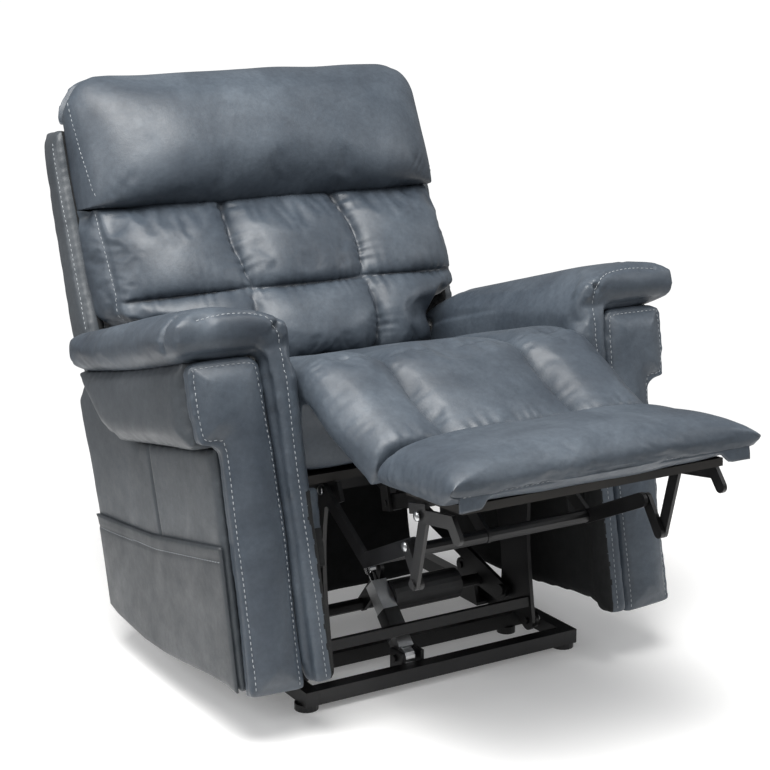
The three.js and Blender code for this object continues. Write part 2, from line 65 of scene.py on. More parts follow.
# ---------------------------------------------------------------- camera
def make_camera():
    """The viewing angle of the picture, about 31 degrees round from the front and 14 degrees up."""
    azimuth, elevation = math.radians(-31.148), math.radians(13.721)
    data = bpy.data.cameras.new("camera")
    data.lens = 82.58
    data.sensor_width = 36
    camera = bpy.data.objects.new("camera", data)
    camera.location = (-1.52793, -2.32409 + FRONT_Y, 1.19214)
    camera.rotation_euler = (math.pi / 2 - elevation, 0, azimuth)
    bpy.context.collection.objects.link(camera)
    bpy.context.scene.camera = camera


make_camera()


# ---------------------------------------------------------------- places
def row(x, y, z):
    """A point of the upright chair, in mm, as a point of the row frame, in metres."""
    c, s = math.cos(LEAN), math.sin(LEAN)
    return Vector((x * MM, (y * c + z * s) * MM + FRONT_Y, (-y * s + z * c) * MM))


def chair_of(p):
    """The row point p in the upright chair's coordinates, in mm."""
    c, s = math.cos(LEAN), math.sin(LEAN)
    y, z = (p[1] - FRONT_Y) / MM, p[2] / MM
    return p[0] / MM, y * c - z * s, y * s + z * c


def ramp(t, points):
    """Straight-line interpolation through points (t, value)."""
    return float(np.interp(t, [p[0] for p in points], [p[1] for p in points]))


def smooth(t):
    t = min(max(t, 0.0), 1.0)
    return t * t * (3 - 2 * t)


# ---------------------------------------------------------------- materials
def nodes_of(name):
    """A new material, its node tree and its shader."""
    material = bpy.data.materials.new(name)
    material.use_nodes = True
    tree = material.node_tree
    return material, tree, tree.nodes["Principled BSDF"]


def node(tree, kind, **values):
    made = tree.nodes.new(kind)
    for key, value in values.items():
        if key in made.inputs:
            made.inputs[key].default_value = value
        else:
            setattr(made, key, value)
    return made


def noise_at(tree, scale, detail=4.0, roughness=0.55, distortion=0.0):
    """A noise texture in object coordinates."""
    place = node(tree, "ShaderNodeTexCoord")
    made = node(tree, "ShaderNodeTexNoise", Scale=scale, Detail=detail, Roughness=roughness,
                Distortion=distortion)
    tree.links.new(place.outputs["Object"], made.inputs["Vector"])
    return made


def colour_ramp(tree, source, stops):
    made = tree.nodes.new("ShaderNodeValToRGB")
    while len(made.color_ramp.elements) < len(stops):
        made.color_ramp.elements.new(0.5)
    for element, (at, colour) in zip(made.color_ramp.elements, stops):
        element.position = at
        element.color = (*colour, 1)
    tree.links.new(source, made.inputs["Fac"])
    return made


def leather(name, dark, mid, light, rough=(0.36, 0.56), grain=0.16):
    """Pull-up leather: mottled colour, lighter worn ridges and painted shade darkening the hollows, pebble grain
    and fine creases.
    """
    material, tree, shader = nodes_of(name)
    clouds = noise_at(tree, 7.0, 5.0, 0.6, 0.4)
    tint = colour_ramp(tree, clouds.outputs["Fac"], [(0.28, dark), (0.5, mid), (0.74, light)])
    speck = noise_at(tree, 120.0, 3.0, 0.7)
    specks = colour_ramp(tree, speck.outputs["Fac"], [(0.3, (0.82, 0.82, 0.83)), (0.7, (1.13, 1.13, 1.12))])
    mixed = node(tree, "ShaderNodeMix", data_type="RGBA", blend_type="MULTIPLY")
    mixed.inputs["Factor"].default_value = 0.8
    tree.links.new(tint.outputs["Color"], mixed.inputs["A"])
    tree.links.new(specks.outputs["Color"], mixed.inputs["B"])
    shape = node(tree, "ShaderNodeNewGeometry")
    # Pointiness ramp: wear lightens the ridges; the darkening in grooves and hollows is painted shade.
    wear_and_hollow_shade = colour_ramp(tree, shape.outputs["Pointiness"],
                       [(0.43, (0.5, 0.5, 0.52)), (0.5, (1, 1, 1)), (0.57, (1.16, 1.15, 1.13))])
    wear_and_hollow_shade_mix = node(tree, "ShaderNodeMix", data_type="RGBA", blend_type="MULTIPLY")
    wear_and_hollow_shade_mix.inputs["Factor"].default_value = 0.75
    tree.links.new(mixed.outputs["Result"], wear_and_hollow_shade_mix.inputs["A"])
    tree.links.new(wear_and_hollow_shade.outputs["Color"], wear_and_hollow_shade_mix.inputs["B"])
    tree.links.new(wear_and_hollow_shade_mix.outputs["Result"], shader.inputs["Base Color"])

    gloss = node(tree, "ShaderNodeMapRange")
    gloss.inputs["From Min"].default_value, gloss.inputs["From Max"].default_value = 0.3, 0.7
    gloss.inputs["To Min"].default_value, gloss.inputs["To Max"].default_value = rough
    patches = noise_at(tree, 22.0, 4.0, 0.65)
    tree.links.new(patches.outputs["Fac"], gloss.inputs["Value"])
    tree.links.new(gloss.outputs["Result"], shader.inputs["Roughness"])
    shader.inputs["Specular IOR Level"].default_value = 0.5

    place = node(tree, "ShaderNodeTexCoord")
    pebbles = node(tree, "ShaderNodeTexVoronoi", Scale=620.0, feature="SMOOTH_F1")
    tree.links.new(place.outputs["Object"], pebbles.inputs["Vector"])
    creases = noise_at(tree, 60.0, 6.0, 0.7, 1.2)
    soft = noise_at(tree, 14.0, 3.0, 0.5)
    first = node(tree, "ShaderNodeBump", Strength=grain, Distance=0.0008)
    tree.links.new(pebbles.outputs["Distance"], first.inputs["Height"])
    second = node(tree, "ShaderNodeBump", Strength=0.16, Distance=0.002)
    tree.links.new(creases.outputs["Fac"], second.inputs["Height"])
    tree.links.new(first.outputs["Normal"], second.inputs["Normal"])
    third = node(tree, "ShaderNodeBump", Strength=0.22, Distance=0.008)
    tree.links.new(soft.outputs["Fac"], third.inputs["Height"])
    tree.links.new(second.outputs["Normal"], third.inputs["Normal"])
    tree.links.new(third.outputs["Normal"], shader.inputs["Normal"])
    return material


def coated(name, dark, light, rough, metallic=0.0, bump_scale=900.0, bump=0.12, patch=30.0):
    """Paint, plastic or metal with a fine surface texture and uneven gloss."""
    material, tree, shader = nodes_of(name)
    patches = noise_at(tree, patch, 5.0, 0.6)
    tint = colour_ramp(tree, patches.outputs["Fac"], [(0.3, dark), (0.7, light)])
    tree.links.new(tint.outputs["Color"], shader.inputs["Base Color"])
    gloss = node(tree, "ShaderNodeMapRange")
    gloss.inputs["To Min"].default_value, gloss.inputs["To Max"].default_value = rough
    tree.links.new(patches.outputs["Fac"], gloss.inputs["Value"])
    tree.links.new(gloss.outputs["Result"], shader.inputs["Roughness"])
    shader.inputs["Metallic"].default_value = metallic
    fine = noise_at(tree, bump_scale, 2.0, 0.6)
    height = node(tree, "ShaderNodeBump", Strength=bump, Distance=0.0005)
    tree.links.new(fine.outputs["Fac"], height.inputs["Height"])
    tree.links.new(height.outputs["Normal"], shader.inputs["Normal"])
    return material


def woven(name, dark, light):
    """Non-woven dust cloth with a crossed thread bump."""
    material, tree, shader = nodes_of(name)
    patches = noise_at(tree, 45.0, 5.0, 0.7)
    tint = colour_ramp(tree, patches.outputs["Fac"], [(0.3, dark), (0.7, light)])
    tree.links.new(tint.outputs["Color"], shader.inputs["Base Color"])
    shader.inputs["Roughness"].default_value = 0.92
    place = node(tree, "ShaderNodeTexCoord")
    waves = []
    for direction in ("X", "Z"):
        wave = node(tree, "ShaderNodeTexWave", Scale=260.0, bands_direction=direction)
        tree.links.new(place.outputs["Object"], wave.inputs["Vector"])
        waves.append(wave)
    total = node(tree, "ShaderNodeMath", operation="ADD")
    tree.links.new(waves[0].outputs["Fac"], total.inputs[0])
    tree.links.new(waves[1].outputs["Fac"], total.inputs[1])
    height = node(tree, "ShaderNodeBump", Strength=0.35, Distance=0.0006)
    tree.links.new(total.outputs[0], height.inputs["Height"])
    tree.links.new(height.outputs["Normal"], shader.inputs["Normal"])
    return material


LEATHER = leather("leather", (0.030, 0.039, 0.052), (0.048, 0.061, 0.078), (0.078, 0.096, 0.118),
                  rough=(0.37, 0.53))
LEATHER_SIDE = leather("side_leather", (0.036, 0.043, 0.051), (0.049, 0.057, 0.066), (0.065, 0.074, 0.085),
                       rough=(0.38, 0.54), grain=0.12)
# A darker copy of the side leather for the pocket: painted shade for the light falling off towards the bottom of
# the arm.
LEATHER_POCKET_SHADED = leather("pocket_leather_painted_shade", (0.023, 0.028, 0.033), (0.032, 0.037, 0.043), (0.044, 0.050, 0.057),
                         rough=(0.42, 0.58), grain=0.12)
# Black cloth; it is also laid on the back wings' faces in the gap beside the cushion as painted shade.
DARK_CLOTH_AND_PAINTED_SHADE = woven("dark_cloth", (0.004, 0.0045, 0.005), (0.012, 0.013, 0.014))
STEEL = coated("black_steel", (0.003, 0.003, 0.0035), (0.008, 0.008, 0.009), (0.3, 0.5), bump=0.2)
ALUMINIUM = coated("aluminium_rail", (0.55, 0.56, 0.57), (0.78, 0.79, 0.80), (0.22, 0.42), 1.0, 300.0, 0.1)
CHROME = coated("chrome_rod", (0.6, 0.61, 0.62), (0.82, 0.83, 0.84), (0.08, 0.2), 1.0, 500.0, 0.04)
PLASTIC = coated("black_plastic", (0.012, 0.012, 0.013), (0.03, 0.031, 0.033), (0.4, 0.6), bump=0.25)
PLYWOOD = coated("plywood", (0.010, 0.009, 0.008), (0.030, 0.027, 0.024), (0.6, 0.8), bump=0.3, patch=12.0)
THREAD = coated("thread", (0.20, 0.22, 0.24), (0.36, 0.38, 0.40), (0.6, 0.8), bump=0.3)
BOLT = coated("bolt", (0.35, 0.36, 0.37), (0.6, 0.61, 0.62), (0.2, 0.4), 1.0, 600.0, 0.1)
SLOTS = {"leather": LEATHER, "side_leather": LEATHER_SIDE, "dark_cloth": DARK_CLOTH_AND_PAINTED_SHADE, "black_steel": STEEL,
         "aluminium_rail": ALUMINIUM, "chrome_rod": CHROME, "black_plastic": PLASTIC, "plywood": PLYWOOD}


def finish_frame_nodes():
    """Gives each CAD piece that stays in view the material of its slot."""
    for part in frame["record"]["subparts"]:
        shown = frame["nodes"][part["node"]]
        shown.data.materials.clear()
        shown.data.materials.append(SLOTS[part["material_slot"]])


# ---------------------------------------------------------------- mesh helpers
def make_object(name, verts, faces, material):
    mesh = bpy.data.meshes.new(name)
    mesh.from_pydata([tuple(v) for v in verts], [], faces)
    mesh.update()
    made = bpy.data.objects.new(name, mesh)
    bpy.context.collection.objects.link(made)
    mesh.materials.append(material)
    tidy_normals(made)
    return made


def tidy_normals(target):
    """Merges doubled points, turns all faces outwards and shades them smooth."""
    work = bmesh.new()
    work.from_mesh(target.data)
    bmesh.ops.remove_doubles(work, verts=work.verts, dist=1e-5)
    bmesh.ops.recalc_face_normals(work, faces=work.faces)
    work.to_mesh(target.data)
    work.free()
    for face in target.data.polygons:
        face.use_smooth = True


def coords(target):
    flat = np.empty(len(target.data.vertices) * 3)
    target.data.vertices.foreach_get("co", flat)
    return flat.reshape(-1, 3)


def normals(target):
    target.data.update()
    flat = np.empty(len(target.data.vertices) * 3)
    target.data.vertices.foreach_get("normal", flat)
    return flat.reshape(-1, 3)


def set_coords(target, points):
    target.data.vertices.foreach_set("co", np.asarray(points).ravel())
    target.data.update()


def apply_modifiers(target):
    """Bakes the object's modifiers into its mesh."""
    bpy.context.view_layer.update()
    graph = bpy.context.evaluated_depsgraph_get()
    mesh = bpy.data.meshes.new_from_object(target.evaluated_get(graph))
    target.modifiers.clear()
    old = target.data
    target.data = mesh
    bpy.data.meshes.remove(old)
    for face in target.data.polygons:
        face.use_smooth = True


def relax(target, factor=0.5, repeat=2):
    modifier = target.modifiers.new("relax", "SMOOTH")
    modifier.factor = factor
    modifier.iterations = repeat
    apply_modifiers(target)


def subdivide(target, levels=1):
    modifier = target.modifiers.new("fine", "SUBSURF")
    modifier.levels = modifier.render_levels = levels
    apply_modifiers(target)


def inflate(target, pressure, cap, pins=None, extra=0.0, frames=16, bending=0.6):
    """Blows the closed form up as cloth. Pinned points stay, and none moves further than cap."""
    start = coords(target)
    if pins is not None:
        group = target.vertex_groups.new(name="pins")
        group.add([int(i) for i in pins], 1.0, "REPLACE")
    modifier = target.modifiers.new("cloth", "CLOTH")
    cloth = modifier.settings
    cloth.quality = 5
    cloth.mass = 0.3
    cloth.tension_stiffness = cloth.compression_stiffness = cloth.shear_stiffness = 12
    cloth.bending_stiffness = bending
    cloth.use_pressure = True
    cloth.uniform_pressure_force = pressure
    cloth.shrink_min = -extra
    cloth.effector_weights.gravity = 0
    cloth.air_damping = 4
    if pins is not None:
        cloth.vertex_group_mass = "pins"
    modifier.point_cache.frame_start = 1
    modifier.point_cache.frame_end = frames
    for number in range(1, frames + 1):
        bpy.context.scene.frame_set(number)
    apply_modifiers(target)
    bpy.context.scene.frame_set(1)
    moved = coords(target)
    step = moved - start
    length = np.linalg.norm(step, axis=1)
    scale = np.minimum(1.0, cap * MM / np.maximum(length, 1e-9))
    set_coords(target, start + step * scale[:, None])
    target.vertex_groups.clear()


# ---------------------------------------------------------------- seams
def polyline_distance(points, path):
    """Distance from each point to a polyline, and the length along it where it is nearest."""
    best = np.full(len(points), 1e9)
    along = np.zeros(len(points))
    run = 0.0
    for a, b in zip(path[:-1], path[1:]):
        a, b = np.array(a), np.array(b)
        d = b - a
        length = np.linalg.norm(d)
        if length < 1e-9:
            continue
        t = np.clip(((points - a) @ d) / length ** 2, 0, 1)
        gap = np.linalg.norm(points - (a + t[:, None] * d), axis=1)
        closer = gap < best
        best = np.where(closer, gap, best)
        along = np.where(closer, run + t * length, along)
        run += length
    return best, along


def groove(target, path, width, depth):
    """Presses a sewn seam into the surface along a path; a negative depth raises it."""
    points = coords(target)
    gap, _ = polyline_distance(points, [tuple(p) for p in path])
    press = depth * MM * np.exp(-(gap / (width * MM)) ** 2)
    set_coords(target, points - normals(target) * press[:, None])


def pucker(target, path, reach, depth, pitch, seed=0):
    """Short folds that run away from a seam, as gathered leather has."""
    points = coords(target)
    gap, along = polyline_distance(points, [tuple(p) for p in path])
    wave = np.array([
        math.sin(2 * math.pi * s / (pitch * MM) + 5 * noise.noise((s * 22 + seed, seed, 0)))
        * (0.35 + 0.65 * abs(noise.noise((s * 9, seed + 7, 3)))) if g < reach * MM * 2.5 else 0.0
        for s, g in zip(along, gap)])
    near = np.exp(-(gap / (reach * MM)) ** 1.5) * (1 - np.exp(-(gap / (8 * MM)) ** 2) * 0.9)
    set_coords(target, points + normals(target) * (wave * near * depth * MM)[:, None])


def unevenness(target, depth, size, seed=0):
    """The soft hand-made unevenness of a stuffed cover."""
    points = coords(target)
    lift = np.array([noise.noise((p[0] / size + seed, p[1] / size, p[2] / size)) for p in points])
    set_coords(target, points + normals(target) * (lift * depth * MM)[:, None])


def resample(path, step):
    """Points at an even spacing along a path."""
    out = [Vector(path[0])]
    carry = 0.0
    for a, b in zip(path[:-1], path[1:]):
        a, b = Vector(a), Vector(b)
        length = (b - a).length
        at = step - carry
        while at <= length:
            out.append(a.lerp(b, at / length))
            at += step
        carry = (carry + length) % step if length else carry
    return out


def curved(path, per=8):
    """Catmull-Rom curve through the points."""
    pts = [Vector(p) for p in path]
    pts = [pts[0] * 2 - pts[1]] + pts + [pts[-1] * 2 - pts[-2]]
    out = []
    for i in range(1, len(pts) - 2):
        p0, p1, p2, p3 = pts[i - 1:i + 3]
        for k in range(per):
            t = k / per
            out.append(0.5 * ((2 * p1) + (p2 - p0) * t + (2 * p0 - 5 * p1 + 4 * p2 - p3) * t ** 2
                              + (3 * p1 - p0 - 3 * p2 + p3) * t ** 3))
    out.append(pts[-2])
    return out


def surface_tree(*targets):
    verts, faces = [], []
    for target in targets:
        first = len(verts)
        verts += [v.co.copy() for v in target.data.vertices]
        faces += [[first + i for i in face.vertices] for face in target.data.polygons]
    return BVHTree.FromPolygons(verts, faces)


def stitches(name, path, targets, body, stitch=6.0, gap=3.0, radius=0.75, lift=0.3):
    """A row of thread stitches laid on the surface along a path."""
    tree = surface_tree(*targets)
    points = []
    for p in resample(path, 1.0 * MM):
        hit, normal, _, _ = tree.find_nearest(p)
        points.append((hit, normal))
    verts, faces = [], []
    count = int(stitch)
    first = 0
    sides = 6
    while first + count < len(points):
        piece = points[first:first + count + 1]
        rings = [(0, 0.35, -0.5), (1, 0.85, 0.1), (count // 2, 1.0, lift), (count - 1, 0.85, 0.1),
                 (count, 0.35, -0.5)]
        base = len(verts)
        for index, width, up in rings:
            at, normal = piece[index]
            ahead = (piece[min(index + 1, count)][0] - piece[max(index - 1, 0)][0]).normalized()
            across = ahead.cross(normal).normalized()
            for k in range(sides):
                turn = 2 * math.pi * k / sides
                verts.append(at + normal * (up * MM) + across * (math.cos(turn) * radius * width * MM)
                             + normal * (math.sin(turn) * radius * width * MM * 0.8))
        for ring in range(len(rings) - 1):
            for k in range(sides):
                a = base + ring * sides + k
                b = base + ring * sides + (k + 1) % sides
                faces.append((a, b, b + sides, a + sides))
        faces.append(tuple(base + k for k in reversed(range(sides))))
        faces.append(tuple(base + (len(rings) - 1) * sides + k for k in range(sides)))
        first += count + int(gap)
    made = make_object(name, verts, faces, THREAD)
    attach(made, body)
    return made


# ---------------------------------------------------------------- padded forms
def shell_form(name, front, back, material, rings=4, belly=0.0):
    """Closed form between two grids of the same size, joined by a boxing strip round the edge."""
    rows_, cols = len(front), len(front[0])
    verts = [p for line in front for p in line]
    offset = len(verts)
    verts += [p for line in back for p in line]
    faces = []
    for j in range(rows_ - 1):
        for i in range(cols - 1):
            a = j * cols + i
            faces.append((a, a + 1, a + cols + 1, a + cols))
            a += offset
            faces.append((a, a + cols, a + cols + 1, a + 1))
    edge = list(range(cols)) + [j * cols + cols - 1 for j in range(1, rows_)]
    edge += [(rows_ - 1) * cols + i for i in range(cols - 2, -1, -1)]
    edge += [j * cols for j in range(rows_ - 2, 0, -1)]
    middle = sum((Vector(verts[i]) for i in edge), Vector()) / len(edge)
    loops = [edge]
    for k in range(1, rings):
        loop = []
        t = k / rings
        for i in edge:
            a, b = Vector(verts[i]), Vector(verts[i + offset])
            p = a.lerp(b, t)
            away = p - middle
            along = (b - a).normalized() if (b - a).length > 1e-9 else Vector((0, 0, 1))
            away -= along * away.dot(along)
            verts.append(p + away.normalized() * (belly * MM * math.sin(math.pi * t)))
            loop.append(len(verts) - 1)
        loops.append(loop)
    loops.append([i + offset for i in edge])
    for one, two in zip(loops[:-1], loops[1:]):
        for k in range(len(edge)):
            n = (k + 1) % len(edge)
            faces.append((one[k], two[k], two[n], one[n]))
    return make_object(name, verts, faces, material)


def softened(name, cad_nodes, material, cap=8.0, voxel=6.0, pressure=4.0, fillers=(), soften=6):
    """A pad that starts as its CAD solids: remeshed into one skin, blown up as cloth and smoothed."""
    cad_nodes = (cad_nodes,) if isinstance(cad_nodes, str) else cad_nodes
    work = bmesh.new()
    for cad_node in cad_nodes:
        work.from_mesh(frame["nodes"][cad_node].data)
    mesh = bpy.data.meshes.new(name)
    work.to_mesh(mesh)
    work.free()
    made = bpy.data.objects.new(name, mesh)
    bpy.context.collection.objects.link(made)
    for low, high in fillers:
        add_filler(made, low, high)
    made.data.materials.clear()
    made.data.materials.append(material)
    remesh = made.modifiers.new("remesh", "REMESH")
    remesh.mode = "VOXEL"
    remesh.voxel_size = voxel * MM
    apply_modifiers(made)
    relax(made, 0.5, soften)
    inflate(made, pressure, cap)
    relax(made, 0.5, 2)
    subdivide(made)
    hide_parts(*cad_nodes)
    return made


def add_filler(target, low, high):
    """Adds a block between two chair-local corners, so that a thin gap closes when the form is remeshed."""
    corners = [row(x, y, z) for x in (low[0], high[0]) for y in (low[1], high[1]) for z in (low[2], high[2])]
    work = bmesh.new()
    work.from_mesh(target.data)
    made = [work.verts.new(p) for p in corners]
    faces = [(0, 1, 3, 2), (4, 6, 7, 5), (0, 4, 5, 1), (2, 3, 7, 6), (0, 2, 6, 4), (1, 5, 7, 3)]
    added = [work.faces.new([made[i] for i in face]) for face in faces]
    bmesh.ops.recalc_face_normals(work, faces=added)
    work.to_mesh(target.data)
    work.free()


def plump(target, outline, height, width, facing):
    """Pushes the side that faces a direction outwards, most in the middle and nothing at its sewn outline."""
    points = coords(target)
    gap, _ = polyline_distance(points, [tuple(p) for p in outline])
    turned = np.clip(normals(target) @ np.array(facing) * 1.6 - 0.5, 0, 1)
    push = height * MM * (1 - np.exp(-(gap / (width * MM)) ** 2)) * turned
    set_coords(target, points + np.array(facing) * push[:, None])


def local_faces(target, material, test):
    """Gives a second material to the faces whose centre, in chair coordinates, passes a test."""
    target.data.materials.append(material)
    for face in target.data.polygons:
        if test(*chair_of(face.center), face.normal):
            face.material_index = len(target.data.materials) - 1


def crown(t, power=4.0, root=0.5):
    """0 at t = 0 and 1, nearly 1 between, with steep shoulders."""
    return max(0.0, 1 - abs(2 * t - 1) ** power) ** root


# ---------------------------------------------------------------- backrest and headrest
GUSSET_FRONT = [(556, 372), (645, 398), (698, 399), (789, 430), (880, 464), (972, 484), (1060, 494),
                (1100, 500)]
CUSHION_REAR = [(556, 438), (600, 470), (640, 500), (724, 528), (855, 545), (985, 562), (1080, 572)]
SEAM_MIDDLE = [(556, 318), (620, 330), (685, 353), (770, 392), (855, 428)]
HEAD_SEAM, ROW_SEAM, BACK_BOTTOM = 866, 692, 556
CUSHION_TOP = HEAD_SEAM - 3  # a narrow gap under the headrest
COLUMN_X, COLUMN_BOW = 115, 9  # seam between the middle and outer panels, and how far it bows out
BACK_WIDE, BACK_NARROW = 349, 270


def back_half(z):
    """Half-width of the back cushion: narrow between the arms, wide above them."""
    return BACK_NARROW + (BACK_WIDE - BACK_NARROW) * smooth((z - 616) / 58)


def back_seam_y(x, z):
    edge = ramp(z, GUSSET_FRONT)
    inner = ramp(z, SEAM_MIDDLE)
    return edge + (inner - edge) * (1 - min(1.0, abs(x) / back_half(z)) ** 3)


def make_back_cushion():
    """Six biscuit panels in two rows, sewn into one front, with a boxed side."""
    columns, lines = 116, 56
    front, back, pins = [], [], []
    for j in range(lines + 1):
        z = BACK_BOTTOM + (CUSHION_TOP - BACK_BOTTOM) * j / lines
        upper = z > ROW_SEAM
        low, high = (ROW_SEAM, CUSHION_TOP) if upper else (BACK_BOTTOM, ROW_SEAM)
        v = (z - low) / (high - low)
        half = back_half(z)
        line, rear_line = [], []
        for i in range(columns + 1):
            x = -half + 2 * half * i / columns
            split = COLUMN_X + COLUMN_BOW * math.sin(math.pi * v)
            if abs(x) < split:
                u = 0.5 + 0.5 * x / split
            else:
                u = (abs(x) - split) / max(1.0, half - split)
            outer = abs(x) >= split
            rise = crown(u, 2.9 if not outer else 2.6, 0.52) * crown(v, 2.7, 0.52)
            if rise < 0.02:
                pins.append(j * (columns + 1) + i)
            puff = (46 if upper else 44) * (0.9 if outer else 1.0) * rise
            puff *= 1 - 0.6 * smooth((abs(x) - 262) / 40) * (1 - smooth((z - 610) / 80))
            y = back_seam_y(x, z) - puff
            line.append(row(x, y, z - puff * 0.22))
            rear_line.append(row(x, ramp(z, CUSHION_REAR), z))
        front.append(line)
        back.append(rear_line)
    made = shell_form("back_cushion_cover", front, back, LEATHER, rings=12, belly=7)
    inflate(made, 3.0, 14, pins=near_front_pins(made, front, pins), extra=0.05, frames=14, bending=0.3)
    relax(made, 0.4, 1)
    subdivide(made)
    for path, seed in back_seams():
        groove(made, path, 7, 8)
        pucker(made, path, 30, 3.4, 24, seed)
    edge = [row(-back_half(z), ramp(z, GUSSET_FRONT), z) for z in range(640, HEAD_SEAM, 10)]
    groove(made, edge, 5, 2.5)
    groove(made, [Vector((-p.x, p.y, p.z)) for p in edge], 5, 2.5)
    unevenness(made, 2.2, 0.07, 3)
    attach(made, "backrest")
    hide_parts("back_cushion")
    for sign, side in ((-1, "left"), (1, "right")):
        path = [Vector((sign * (abs(p.x) - 0.004), p.y + 0.009, p.z)) for p in edge]
        stitches(f"back_stitching_{side}", path, [made], "backrest")
    return made


def near_front_pins(target, front, listed):
    """Vertices of the finished mesh that lie on the listed front points."""
    flat = [p for line in front for p in line]
    points = coords(target)
    keep = set()
    from_point = {}
    for index, p in enumerate(points):
        from_point.setdefault((round(p[0], 4), round(p[1], 4), round(p[2], 4)), index)
    for i in listed:
        key = (round(flat[i][0], 4), round(flat[i][1], 4), round(flat[i][2], 4))
        if key in from_point:
            keep.add(from_point[key])
    return sorted(keep)


def back_seams():
    """The sewn lines between the biscuit panels, each with a seed for its puckers."""
    seams = []
    for sign in (-1, 1):
        for start, rise, seed in ((ROW_SEAM, 171, 3), (BACK_BOTTOM, 136, 8)):
            path = [row(sign * (COLUMN_X + COLUMN_BOW * math.sin(math.pi * t)),
                        back_seam_y(COLUMN_X, start + rise * t) - 2, start + rise * t)
                    for t in np.linspace(0, 1, 12)]
            seams.append((path, seed + sign))
    across = [row(x, back_seam_y(x, ROW_SEAM) - 2, ROW_SEAM) for x in range(-340, 341, 20)]
    seams.append((across, 15))
    return seams


HEAD_FRONT = [(433, 868), (402, 873), (384, 893), (380, 922), (388, 962), (404, 1003), (428, 1046), (458, 1082),
              (490, 1101), (520, 1107), (548, 1102), (567, 1084), (574, 1054), (574, 1030)]
HEAD_TOP, HEAD_CORNER = 1107, 58


def make_headrest():
    """One large roll above the deep seam, wrapping over the top of the back."""
    profile = [np.array((p.y, p.z)) for p in curved([(0, y, z) for y, z in HEAD_FRONT], 4)]
    columns = 96
    front, back = [], []
    for y, z in profile:
        line, rear_line = [], []
        edge_y = max(ramp(z, GUSSET_FRONT), y)
        for i in range(columns + 1):
            t = -1 + 2 * i / columns
            over = min(1.0, max(0.0, (z - HEAD_TOP + HEAD_CORNER) / HEAD_CORNER))
            half = 352 - HEAD_CORNER * (1 - math.sqrt(1 - over ** 2))
            fullness = (1 - abs(t) ** 5) ** 0.6
            depth = edge_y + (y - edge_y) * fullness
            depth = min(depth, 574 - 26 * smooth((abs(t) - 0.84) / 0.14))
            low = 6 * (1 - fullness) if z > 1050 else 0
            dip = 5 * math.exp(-((t + 0.62) / 0.3) ** 2) if z > 1070 else 0
            line.append(row(half * t, depth, z - low - dip))
            spine = 506 + 38 * smooth((abs(t) - 0.82) / 0.1)
            rear_line.append(row(half * t * 0.99, spine, min(max(z, 872), 1026)))
        front.append(line)
        back.append(rear_line)
    made = shell_form("headrest_cover", front, back, LEATHER, rings=10, belly=6)
    inflate(made, 3.0, 12, extra=0.03, frames=12, bending=0.6)
    relax(made, 0.5, 2)
    subdivide(made)
    seam = [row(x, 432, HEAD_SEAM + 3) for x in range(-340, 341, 20)]
    pucker(made, seam, 20, 2.2, 34, 5)
    for sign in (-1, 1):
        crease = [row(sign * 342, 404, 876), row(sign * 322, 398, 890), row(sign * 300, 386, 912)]
        groove(made, crease, 10, 6)
        pucker(made, crease, 20, 1.6, 20, sign)
    edge = [row(-346, ramp(z, GUSSET_FRONT), z) for z in range(872, 1075, 10)]
    groove(made, edge, 5, 2.5)
    groove(made, [Vector((-p.x, p.y, p.z)) for p in edge], 5, 2.5)
    unevenness(made, 3.5, 0.11, 9)
    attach(made, "headrest")
    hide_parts("headrest_cushion")
    for sign, side in ((-1, "left"), (1, "right")):
        low = np.linspace(1, 0, len(edge))
        path = [Vector((sign * (abs(p.x) - 0.010 * k), p.y + 0.009 - 0.028 * k, p.z))
                for p, k in zip(edge, low)]
        stitches(f"headrest_stitching_{side}", path, [made], "headrest")


def stretch_back(target):
    """Makes the wing a little deeper behind its front edge, where its padding is thickest."""
    points = coords(target)
    for index, p in enumerate(points):
        x, y, z = chair_of(p)
        front = ramp(z, [(563, 470), (640, 452), (1016, 526)])
        points[index] = row(x, front + (y - front) * 1.25, z)
    set_coords(target, points)


def make_back_shell():
    """Upholstered wings at the sides of the back, and its rear panel."""
    for side, sign in SIDES:
        wing = softened(f"back_wing_cover_{side}", f"back_wing_{side}", LEATHER_SIDE, cap=6, voxel=7)
        stretch_back(wing)
        # Faces in the gap beside the back cushion get the black cloth: painted shade for the deep shadow in that
        # gap.
        local_faces(wing, DARK_CLOTH_AND_PAINTED_SHADE, lambda x, y, z, normal: abs(x) < 368 or normal.x * sign < -0.3)
        edge = [row(sign * 386, ramp(z, [(640, 452), (1016, 526)]) + 10, z) for z in range(650, 1005, 12)]
        groove(wing, edge, 4, 2)
        unevenness(wing, 1.2, 0.08, sign)
        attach(wing, "backrest")
        stitches(f"back_wing_stitching_{side}", [p + Vector((0, 0.007, 0)) for p in edge], [wing], "backrest")
    rear = softened("back_rear_cover", "back_rear_panel", LEATHER_SIDE, cap=9, voxel=7, pressure=3)
    unevenness(rear, 2.0, 0.12, 4)
    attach(rear, "backrest")


# ---------------------------------------------------------------- seat, leg rest and ottoman
TOP_LINE = [(330, 541), (200, 546), (60, 551), (-60, 556), (-104, 556), (-124, 551), (-142, 541), (-170, 520),
            (-200, 498), (-240, 470), (-272, 449), (-291, 436)]


def seat_half(y):
    return ramp(y, [(-300, 254), (-200, 262), (-100, 264), (330, 262)])


